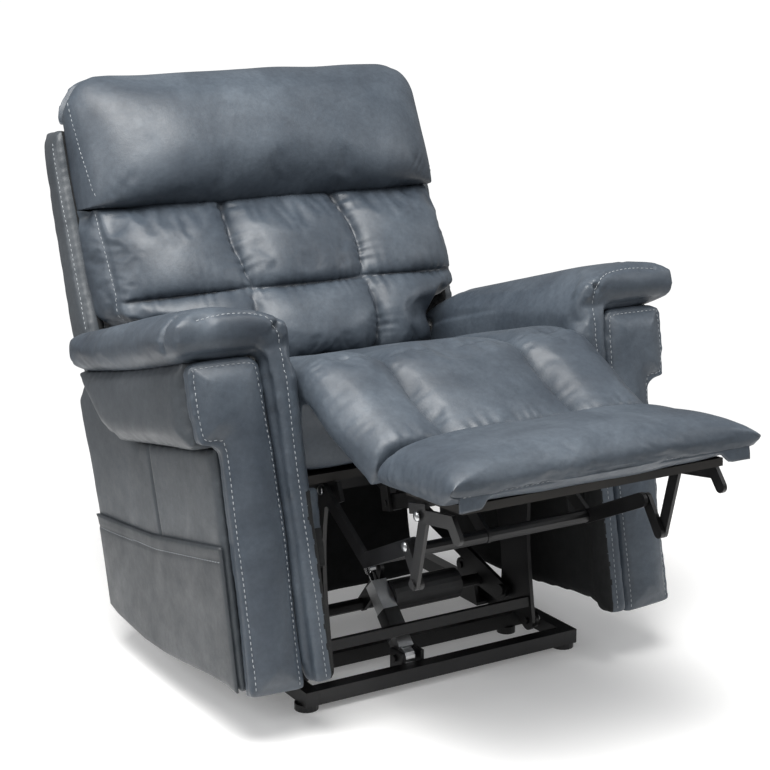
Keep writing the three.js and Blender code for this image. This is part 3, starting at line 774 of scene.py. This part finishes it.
def make_seat():
    """Three channels that run from the back of the seat over its front edge and down the leg rest."""
    path = [np.array((p.y, p.z)) for p in curved([(0, y, z) for y, z in TOP_LINE], 6)]
    lengths = np.concatenate([[0], np.cumsum([np.linalg.norm(b - a) for a, b in zip(path[:-1], path[1:])])])
    count = 104
    stations = [np.array([np.interp(s, lengths, [p[k] for p in path]) for k in (0, 1)])
                for s in np.linspace(0, lengths[-1], count)]
    channels = (("left", -1.0, -0.48), ("middle", -0.48, 0.48), ("right", 0.48, 1.0))
    for index, (name, low, high) in enumerate(channels):
        columns = 34 if name != "middle" else 48
        front, back = [], []
        for k, p in enumerate(stations):
            ahead = stations[min(k + 1, count - 1)] - stations[max(k - 1, 0)]
            ahead /= np.linalg.norm(ahead)
            up = np.array((-ahead[1], ahead[0])) * (-1 if ahead[0] < 0 else 1)
            v = k / (count - 1)
            line, rear_line = [], []
            for i in range(columns + 1):
                u = i / columns
                half = seat_half(p[0])
                x = half * (low + (high - low) * u)
                end = crown(min(0.5, 0.5 * (1 - v) / 0.045), 3.5, 0.5)
                start = crown(min(0.5, 0.5 * v / 0.03), 3.5, 0.5)
                puff = 30 * crown(u, 2.6, 0.52) * end * start
                top = p + up * (puff - 17)
                thick = 58 if p[0] < -90 else ramp(p[0], [(-90, 58), (-40, 150), (330, 145)])
                low_p = p - up * thick
                if p[0] >= -62:
                    low_p = np.array((p[0], 398.0))
                line.append(row(x, top[0], top[1]))
                rear_line.append(row(x * 0.995, low_p[0], low_p[1]))
            front.append(line)
            back.append(rear_line)
        made = shell_form(f"seat_channel_{name}", front, back, LEATHER, rings=8, belly=4)
        inflate(made, 2.5, 9, extra=0.04, frames=12, bending=0.4)
        relax(made, 0.4, 1)
        subdivide(made)
        for sign, share in ((-1, low), (1, high)):
            seam = [row(seat_half(p[0]) * share, p[0], p[1]) for p in stations[30::4]]
            pucker(made, seam, 16, 1.3 if abs(share) < 0.9 else 1.5, 24, index * 7 + sign)
        end_seam = [row(x, -291, 438) for x in range(-250, 251, 25)]
        pucker(made, end_seam, 20, 2.4, 24, index + 30)
        groove(made, [row(x, -112, 566) for x in range(-250, 251, 25)], 5, 3)
        unevenness(made, 2.4, 0.08, index * 3)
        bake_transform(made)
    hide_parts("seat_cushion", "calf_pad")


OTTOMAN_TOP = [(-296, 424), (-310, 437), (-334, 446), (-370, 446), (-410, 441), (-450, 435), (-484, 425),
               (-507, 411), (-518, 396), (-516, 384)]


def make_ottoman():
    """Wide roll at the end of the leg rest, with pointed front corners and a strip under its edge."""
    profile = [np.array((p.y, p.z)) for p in curved([(0, y, z) for y, z in OTTOMAN_TOP], 5)]
    columns = 92
    front, back = [], []
    for k, (y, z) in enumerate(profile):
        v = k / (len(profile) - 1)
        line, rear_line = [], []
        for i in range(columns + 1):
            t = -1 + 2 * i / columns
            half = ramp(y, [(-519, 270), (-480, 266), (-330, 256), (-292, 252)])
            side = (1 - abs(t) ** 7) ** 0.55
            floor_z = ramp(y, [(-519, 390), (-292, 404)])
            lift = floor_z + (z - floor_z) * side
            pull = 10 * (1 - abs(t) ** 2) * smooth((v - 0.7) / 0.3)
            line.append(row(half * t, y + pull, lift))
            under = ramp(y, [(-519, 380), (-478, 366), (-292, 386)])
            rear_line.append(row(half * t * 0.985, max(y + pull, -508) + 2, under))
        front.append(line)
        back.append(rear_line)
    made = shell_form("ottoman_cover", front, back, LEATHER, rings=4, belly=3)
    inflate(made, 2.5, 8, extra=0.03, frames=12, bending=0.5)
    relax(made, 0.4, 1)
    subdivide(made)
    seam = [row(x, -294, 432) for x in range(-250, 251, 25)]
    pucker(made, seam, 22, 2.6, 28, 12)
    for sign in (-1, 1):
        side_seam = [row(sign * ramp(y, [(-519, 268), (-292, 250)]), y, 396) for y in range(-510, -290, 15)]
        pucker(made, side_seam, 16, 1.6, 24, 20 + sign)
    unevenness(made, 2.4, 0.09, 6)
    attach(made, "ottoman")
    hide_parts("ottoman_cushion")
    strip = make_strip()
    stitch_path = [row(x, -512 + 10 * (1 - (x / 262) ** 2), 378) for x in range(-255, 256, 10)]
    stitches("ottoman_stitching", stitch_path, [strip], "ottoman", radius=0.55)


def make_strip():
    """Facing strip under the front edge, deeper at its two ends."""
    columns, depth_rows = 130, 8
    front, back = [], []
    for j in range(depth_rows + 1):
        line, rear_line = [], []
        for i in range(columns + 1):
            t = -1 + 2 * i / columns
            x = 260 * t
            drop = 13 + 16 * smooth((abs(x) - 205) / 22)
            z = 386 - drop * j / depth_rows
            y = -511 + 10 * (1 - t * t) - 1.5 * math.sin(math.pi * j / depth_rows)
            line.append(row(x, y, z))
            rear_line.append(row(x, y + 5, z))
        front.append(line)
        back.append(rear_line)
    made = shell_form("ottoman_front_strip", front, back, LEATHER, rings=2)
    unevenness(made, 1.2, 0.05, 2)
    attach(made, "ottoman")
    return made


# ---------------------------------------------------------------- arms
def both_ways(sign, points):
    """Points of the right half of the chair, on the side given by sign."""
    return [row(sign * x, y, z) for x, y, z in points]


ARM_INNER_X = 281
FACE_EDGE = [(325, -103, 74), (324, -103, 300), (333, -103, 500), (338, -103, 566), (352, -103, 582),
             (438, -103, 582), (446, -103, 572), (446, -103, 520), (440, -103, 474), (416, -103, 468),
             (407, -103, 450), (405, -103, 300), (402, -103, 74)]
ROLL_STITCH = [(436, -116, 655), (396, -112, 661), (350, -110, 658), (316, -112, 640), (302, -116, 612),
               (298, -118, 560), (294, -119, 400), (289, -119, 220), (285, -119, 80)]
CAP_TOP = [(-121, 664), (-6, 661), (331, 640), (408, 624)]
WING_EDGE = [(-74, 590), (366, 580), (350, 558), (280, 488), (217, 466), (-34, 461), (-74, 462), (-74, 590)]
FACE_INSIDE = [(312, -104, 66), (311, -104, 300), (321, -104, 500), (326, -104, 577), (343, -104, 593),
               (449, -104, 594)]
FACE_OUTSIDE = [(415, -88, 70), (419, -88, 447), (425, -88, 458), (453, -88, 466), (458, -88, 520),
                (457, -88, 578), (449, -88, 593)]


def round_cap(target, sign, inner=50, outer=24):
    """Rounds the long upper edges of the arm's top."""
    points = coords(target)
    for index, p in enumerate(points):
        x, y, z = chair_of(p)
        across, top = abs(x), ramp(y, CAP_TOP) + 4
        for edge, radius, toward in ((ARM_INNER_X, inner, 1), (480, outer, -1)):
            centre_x, centre_z = edge + toward * radius, top - radius
            dx, dz = across - centre_x, z - centre_z
            reach = math.hypot(dx, dz)
            if dx * toward < 0 < dz and reach > radius:
                x = sign * (centre_x + dx * radius / reach)
                z = centre_z + dz * radius / reach
        points[index] = row(x, y, z)
    set_coords(target, points)


def make_arm(side, sign):
    roll = softened(f"arm_roll_cover_{side}", (f"arm_top_pad_{side}", f"arm_front_rail_{side}",
                    f"arm_inner_panel_{side}"), LEATHER, cap=8, voxel=6, pressure=4,
                    fillers=(((sign * 284, -114, 560), (sign * 326, -79, 640)),
                             ((sign * 283, -78, 570), (sign * 296, 398, 612))))
    round_cap(roll, sign)
    face = softened(f"arm_face_cover_{side}", f"arm_front_panel_{side}", LEATHER, cap=4, voxel=5, pressure=3,
                    soften=16)
    wing = softened(f"arm_wing_cover_{side}", f"arm_wing_{side}", LEATHER_SIDE, cap=4, voxel=6, pressure=2,
                    soften=12)
    outer = softened(f"arm_outer_cover_{side}", f"arm_outer_panel_{side}", LEATHER_SIDE, cap=1.5, voxel=6,
                     pressure=1, soften=12)
    relax(roll, 0.5, 10)
    roll_end = curved(both_ways(sign, [(482, -62, 600), (474, -66, 640), (448, -62, 664),
                                       (404, -58, 668)]), 6)
    groove(roll, roll_end, 7, 7)
    pucker(roll, roll_end, 18, 2.4, 20, sign * 3)
    hem = curved(both_ways(sign, [(482, -50, 618), (483, 100, 614), (482, 250, 606), (476, 330, 600),
                                  (446, 374, 598)]), 6)
    groove(roll, hem, 4, 2.4)
    mitre = both_ways(sign, [(336, -119, 596), (318, -122, 616), (300, -116, 640), (292, -100, 652)])
    groove(roll, mitre, 5, 5)
    pucker(roll, mitre, 14, 2.0, 18, 4 + sign)
    behind = curved(both_ways(sign, ROLL_STITCH), 8)
    groove(roll, behind, 5, 3)
    edge = curved(both_ways(sign, FACE_EDGE), 5)
    plump(face, edge + [edge[0]], 10, 20, tuple((row(0, -1, 0) - row(0, 0, 0)).normalized()))
    groove(face, edge, 4, 1.5)
    plump(wing, both_ways(sign, [(450, y, z) for y, z in WING_EDGE]), 8, 20, (sign, 0, 0))
    for piece in (roll, face):
        groove(piece, both_ways(sign, FACE_INSIDE), 9, 5)
    for piece in (wing, face):
        groove(piece, both_ways(sign, FACE_OUTSIDE), 8, 4)
    seam = curved(both_ways(sign, [(419, 176, 458), (419, 170, 380), (419, 163, 308)]), 6)
    groove(outer, seam, 3.5, 3.5)
    local_faces(roll, DARK_CLOTH_AND_PAINTED_SHADE, lambda x, y, z, normal: abs(x) < 292 and z < 372 and normal.x * sign < -0.3)
    for piece, seed, depth in ((roll, 1, 1.2), (face, 3, 1.4), (wing, 4, 1.8), (outer, 5, 1.2)):
        unevenness(piece, depth, 0.09, seed * 2 + sign)
        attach(piece, "carriage")
    stitches(f"arm_roll_stitching_{side}", behind, [roll], "carriage")
    stitches(f"arm_face_stitching_{side}", edge, [face], "carriage")
    make_pocket(side, sign)


def make_pocket(side, sign):
    """Lower side panel that forms an open-topped pocket, hemmed along its top edge."""
    lower = [(-72, 78), (-39, 87), (21, 94), (117, 101), (196, 108), (278, 121), (391, 153), (421, 167)]
    columns, lines = 90, 44
    front, back = [], []
    for j in range(lines + 1):
        v = j / lines
        line, rear_line = [], []
        for i in range(columns + 1):
            y = -72 + (421 - -72) * i / columns
            bottom = ramp(y, lower)
            top = ramp(y, [(-72, 304), (179, 306), (421, 327)])
            z = bottom + (top - bottom) * v
            y_at = y + (z - 165) * 0.064 * max(0.0, (y + 72) / 493)
            lip = 2.2 * math.exp(-((top - z) / 5) ** 2) - 1.4 * math.exp(-((top - 21 - z) / 3) ** 2)
            puff = 4.5 * crown(i / columns, 6) * crown(v, 8, 0.4)
            x = 421 + puff + lip
            line.append(row(sign * x, y_at, z))
            rear_line.append(row(sign * 417.5, y_at, z))
        front.append(line)
        back.append(rear_line)
    # The pocket takes the darker copy of the side leather: painted shade.
    made = shell_form(f"arm_pocket_{side}", front, back, LEATHER_POCKET_SHADED, rings=2)
    unevenness(made, 1.6, 0.12, 8 + sign)
    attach(made, "carriage")
    hem = [row(sign * 427, y, ramp(y, [(-72, 282), (179, 284), (430, 305)])) for y in range(-66, 426, 10)]
    stitches(f"arm_pocket_stitching_{side}", hem, [made], "carriage", radius=0.6)


def make_valances():
    """Cloth sides of the seat, with a leather band along the top."""
    for side, sign in SIDES:
        cloth = softened(f"seat_valance_cover_{side}", f"seat_side_valance_{side}", DARK_CLOTH_AND_PAINTED_SHADE, cap=4, voxel=6,
                         pressure=1.5)
        local_faces(cloth, LEATHER, lambda x, y, z, normal: z > 306)
        unevenness(cloth, 1.5, 0.05, sign)
        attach(cloth, "carriage")


def make_dust_cloth():
    """Black cloth hung behind the seat frame, which hides the works from the front."""
    columns, lines = 60, 24
    half, low, high, depth, thick = 178, 118, 336, 372, 1.6
    front, back = [], []
    for j in range(lines + 1):
        line, rear_line = [], []
        for i in range(columns + 1):
            x = -half + 2 * half * i / columns
            z = low + (high - low) * j / lines
            y = depth + 5 * noise.noise((x / 60, z / 90, 2)) + 3 * math.sin(x / 23) * (1 - j / lines)
            line.append(row(x, y, z))
            rear_line.append(row(x, y + thick, z))
        front.append(line)
        back.append(rear_line)
    made = shell_form("seat_dust_cloth", front, back, DARK_CLOTH_AND_PAINTED_SHADE, rings=2)
    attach(made, "carriage")


def make_seat_flap():
    """Dark decking cloth behind the seat, which closes the view under the back cushion as it reclines."""
    columns, lines, half, thick, sag = 40, 8, 250, 3, 3
    front, back = [], []
    for j in range(lines + 1):
        y = 316 + 84 * j / lines
        z = 532 - 10 * j / lines
        line = [half * (2 * i / columns - 1) for i in range(columns + 1)]
        front.append([row(x, y, z - sag * (1 - (x / half) ** 2)) for x in line])
        back.append([row(x, y, z - thick - sag * (1 - (x / half) ** 2)) for x in line])
    made = shell_form("seat_rear_flap", front, back, DARK_CLOTH_AND_PAINTED_SHADE, rings=2)
    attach(made, "carriage")


# ---------------------------------------------------------------- fasteners and small hardware
def bolt_heads(name, places, body):
    """Domed rivet heads: each place is (x, y, z) in the row frame and the side it faces along X."""
    verts, faces = [], []
    sides = 14
    for at, facing in places:
        base = len(verts)
        for radius, height in ((7.6, 0.0), (7.6, 1.6), (6.2, 3.0), (3.4, 3.9), (0.8, 4.2)):
            for k in range(sides):
                turn = 2 * math.pi * k / sides
                spoke = Vector((facing * height, math.cos(turn) * radius, math.sin(turn) * radius))
                verts.append(at + spoke * MM)
        for ring in range(4):
            for k in range(sides):
                a, b = base + ring * sides + k, base + ring * sides + (k + 1) % sides
                faces.append((a, b, b + sides, a + sides))
        faces.append(tuple(base + k for k in range(sides)))
        faces.append(tuple(base + 4 * sides + k for k in range(sides)))
    made = make_object(name, verts, faces, BOLT)
    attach(made, body)


def actuator_sleeve():
    """Black moulded sleeve over the lift actuator's rail, which leaves only its top bright."""
    foot, head = Vector((-54, 46, 40)), Vector((-54, 165, 160))
    along = (head - foot).normalized()
    across = Vector((0, -along.z, along.y))
    reach = 15.6  # half the sleeve's width, just outside the rail
    verts = []
    for height in (34, 86):
        for u, v in ((-1, -1), (1, -1), (1, 1), (-1, 1)):
            at = foot + along * height + across * (v * reach)
            verts.append(Vector(((at.x + u * reach) * MM, at.y * MM + FRONT_Y, at.z * MM)))
    faces = [(0, 1, 2, 3), (7, 6, 5, 4), (0, 4, 5, 1), (1, 5, 6, 2), (2, 6, 7, 3), (3, 7, 4, 0)]
    made = make_object("lift_actuator_sleeve", verts, faces, PLASTIC)
    bevel = made.modifiers.new("edges", "BEVEL")
    bevel.width, bevel.segments = 2.5 * MM, 3
    apply_modifiers(made)
    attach(made, "lift_actuator")


def joint_place(name):
    for joint in frame["joints"]:
        if joint["name"] == name:
            return Vector(joint["pos_m"])
    raise KeyError(name)


def make_bolts():
    """Rivet heads on the pivots that show; each plane is how far out the head sits, in mm."""
    for joint, body, plane in (("scissor_rear_swing", "scissor_rear", 229.2),
                               ("scissor_front_swing", "ottoman", 246.4),
                               ("footrest_arm_swing", "footrest_arms", 220.8),
                               ("carriage_tilt", "lift_link", 221.2),
                               ("back_recline", "backrest", 221.2)):
        at = joint_place(joint)
        places = [(Vector((sign * plane * MM, at.y, at.z)), sign) for _, sign in SIDES]
        bolt_heads(f"rivets_{joint}", places, body)


# ---------------------------------------------------------------- stage and lights
def make_stage():
    """Pale floor that fades into a white surround."""
    material, tree, shader = nodes_of("studio_floor")
    shader.inputs["Base Color"].default_value = (0.9, 0.9, 0.9, 1)
    shader.inputs["Roughness"].default_value = 0.9
    shader.inputs["Emission Color"].default_value = (1, 1, 1, 1)
    shader.inputs["Emission Strength"].default_value = 0.16
    place = node(tree, "ShaderNodeTexCoord")
    length = node(tree, "ShaderNodeVectorMath", operation="LENGTH")
    tree.links.new(place.outputs["Object"], length.inputs[0])
    fade = node(tree, "ShaderNodeMapRange", interpolation_type="SMOOTHSTEP")
    fade.inputs["From Min"].default_value, fade.inputs["From Max"].default_value = 0.75, 1.9
    tree.links.new(length.outputs["Value"], fade.inputs["Value"])
    clear = node(tree, "ShaderNodeBsdfTransparent")
    mixed = node(tree, "ShaderNodeMixShader")
    tree.links.new(fade.outputs["Result"], mixed.inputs["Fac"])
    tree.links.new(shader.outputs["BSDF"], mixed.inputs[1])
    tree.links.new(clear.outputs["BSDF"], mixed.inputs[2])
    tree.links.new(mixed.outputs["Shader"], tree.nodes["Material Output"].inputs["Surface"])
    mesh = bpy.data.meshes.new("studio_floor")
    half, below = 4, -0.0006  # in metres, just under the glides
    corners = [(-half, -half, below), (half, -half, below), (half, half, below), (-half, half, below)]
    mesh.from_pydata(corners, [], [(0, 1, 2, 3)])
    floor = bpy.data.objects.new("studio_floor", mesh)
    mesh.materials.append(material)
    bpy.context.collection.objects.link(floor)
    world = bpy.data.worlds.new("studio")
    bpy.context.scene.world = world
    world.use_nodes = True
    sky = world.node_tree
    seen = sky.nodes.new("ShaderNodeLightPath")
    strength = sky.nodes.new("ShaderNodeMapRange")
    strength.inputs["To Min"].default_value, strength.inputs["To Max"].default_value = 0.30, 1.05
    sky.links.new(seen.outputs["Is Camera Ray"], strength.inputs["Value"])
    sky.links.new(strength.outputs["Result"], sky.nodes["Background"].inputs["Strength"])
    sky.nodes["Background"].inputs["Color"].default_value = (1, 1, 1, 1)


def make_light(name, place, aim, size, power, colour=(1, 1, 1)):
    data = bpy.data.lights.new(name, "AREA")
    data.shape = "RECTANGLE"
    data.size, data.size_y = size
    data.energy = power
    data.color = colour
    made = bpy.data.objects.new(name, data)
    made.location = place
    made.rotation_euler = (Vector(aim) - Vector(place)).to_track_quat("-Z", "Y").to_euler()
    bpy.context.collection.objects.link(made)


finish_frame_nodes()
make_back_cushion()
make_headrest()
make_back_shell()
make_seat()
make_ottoman()
for side, sign in SIDES:
    make_arm(side, sign)
make_valances()
make_dust_cloth()
make_seat_flap()
make_bolts()
actuator_sleeve()
make_stage()
make_light("overhead", (-0.7, -0.6, 3.0), (0, 0.1, 0.5), (2.3, 1.9), 152, (1, 0.99, 0.97))
make_light("left", (-3.1, 0.3, 2.1), (0, 0.1, 0.6), (1.8, 1.6), 38)
make_light("front", (-1.9, -3.2, 2.6), (0, 0, 0.5), (0.7, 1.6), 15)
make_light("right", (2.8, -1.4, 2.0), (0, 0, 0.6), (1.2, 1.4), 20, (0.97, 0.98, 1))
bpy.context.scene.view_settings.view_transform = "Standard"
